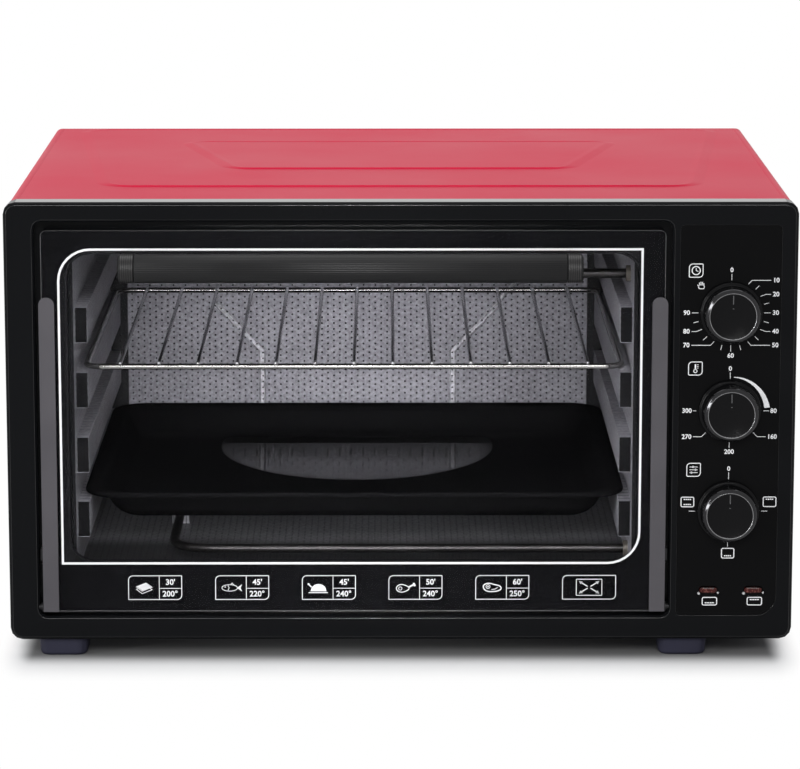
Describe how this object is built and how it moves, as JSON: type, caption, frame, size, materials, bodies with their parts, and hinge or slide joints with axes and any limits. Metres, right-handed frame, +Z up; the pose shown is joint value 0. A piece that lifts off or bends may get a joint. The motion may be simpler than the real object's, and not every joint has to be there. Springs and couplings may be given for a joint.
{
  "type": "mini oven",
  "caption": "Counter-top mini oven with a painted steel body, drop-down glass door, turning controls, rod heaters, ribbed liner, wire rack and baking tray.",
  "frame": {"origin": "on the table, under the middle of the oven's outer box", "axes": "+X to the right as seen from the front, +Y towards the back, +Z up; the door faces -Y"},
  "size_m": [0.52, 0.4448, 0.3065],
  "materials": {
    "red_cover": "gloss",
    "black_moulding": "gloss",
    "black_plastic": "matte",
    "foot_rubber": "matte",
    "zinc_sheet": "satin",
    "liner_sheet": "satin",
    "dark_sheet": "satin",
    "grey_trim": "satin",
    "chrome_wire": "polished",
    "steel": "satin",
    "heater_steel": "satin",
    "ceramic": "satin",
    "enamel": "gloss",
    "brass": "satin",
    "lamp_red": "gloss",
    "phenolic": "matte",
    "door_glass": "polished"
  },
  "bodies": {
    "housing": {"foot_front_left": "foot_rubber", "foot_front_right": "foot_rubber", "foot_rear_left": "foot_rubber", "foot_rear_right": "foot_rubber", "base_plate": "zinc_sheet", "front_frame": "zinc_sheet", "rear_panel": "zinc_sheet", "rear_screw_lower_left": "steel", "rear_screw_upper_left": "steel", "rear_screw_lower_right": "steel", "rear_screw_upper_right": "steel", "cable_gland": "black_plastic", "outer_cover": "red_cover", "cavity_floor": "liner_sheet", "cavity_ceiling": "liner_sheet", "cavity_side_left": "liner_sheet", "cavity_side_right": "liner_sheet", "cavity_back": "liner_sheet", "front_bezel": "black_moulding", "control_panel": "black_moulding", "indicator_lamp_left": "lamp_red", "indicator_lamp_right": "lamp_red", "heat_shield": "zinc_sheet", "bottom_heater": "heater_steel", "top_heater": "heater_steel", "bottom_insulator_front": "ceramic", "bottom_insulator_back": "ceramic", "top_insulator_front": "ceramic", "top_insulator_back": "ceramic", "timer_body": "zinc_sheet", "thermostat_body": "phenolic", "function_switch_body": "phenolic", "timer_bell": "brass", "thermostat_sensor": "brass", "terminal_block": "ceramic", "door_spring_left": "steel", "door_spring_right": "steel"},
    "door": {"door_glass": "door_glass", "door_inner_frame": "dark_sheet", "door_trim_left": "grey_trim", "door_trim_right": "grey_trim", "hinge_pin_left": "steel", "hinge_pin_right": "steel", "hinge_arm_left": "steel", "hinge_arm_right": "steel", "door_handle": "black_plastic", "handle_end_left": "black_plastic", "handle_end_right": "black_plastic", "handle_screw_left": "steel", "handle_screw_right": "steel"},
    "timer_control": {"timer_knob": "black_moulding", "timer_shaft": "steel"},
    "thermostat_control": {"thermostat_knob": "black_moulding", "thermostat_shaft": "steel"},
    "function_control": {"function_knob": "black_moulding", "function_shaft": "steel"},
    "rack": {"wire_rack": "chrome_wire"},
    "tray": {"baking_tray": "enamel"}
  },
  "joints": [
    {"name": "door_hinge", "type": "hinge", "parent": "housing", "child": "door", "pos_m": [-0.03125, -0.18395, 0.0345], "axis": [1, 0, 0], "range_deg": [0, 86], "stiffness_Nm_per_rad": 0.6, "springref_deg": -17.19, "deforming": ["door_spring_left", "door_spring_right"]},
    {"name": "timer_turn", "type": "hinge", "parent": "housing", "child": "timer_control", "pos_m": [0.2165, -0.18695, 0.2332], "axis": [0, 1, 0], "range_deg": [-45, 270]},
    {"name": "thermostat_turn", "type": "hinge", "parent": "housing", "child": "thermostat_control", "pos_m": [0.2165, -0.18695, 0.1677], "axis": [0, 1, 0], "range_deg": [0, 270]},
    {"name": "function_turn", "type": "hinge", "parent": "housing", "child": "function_control", "pos_m": [0.2165, -0.18695, 0.1], "axis": [0, 1, 0], "range_deg": [0, 270]},
    {"name": "rack_slide", "type": "slide", "parent": "housing", "child": "rack", "axis": [0, -1, 0], "range_m": [0, 0.121]},
    {"name": "tray_slide", "type": "slide", "parent": "housing", "child": "tray", "axis": [0, -1, 0], "range_m": [0, 0.121]}
  ],
  "couplings": [
    {"joint": "rack_slide", "follows": "door_hinge", "m_per_rad": 0.08},
    {"joint": "tray_slide", "follows": "door_hinge", "m_per_rad": 0.08}
  ]
}
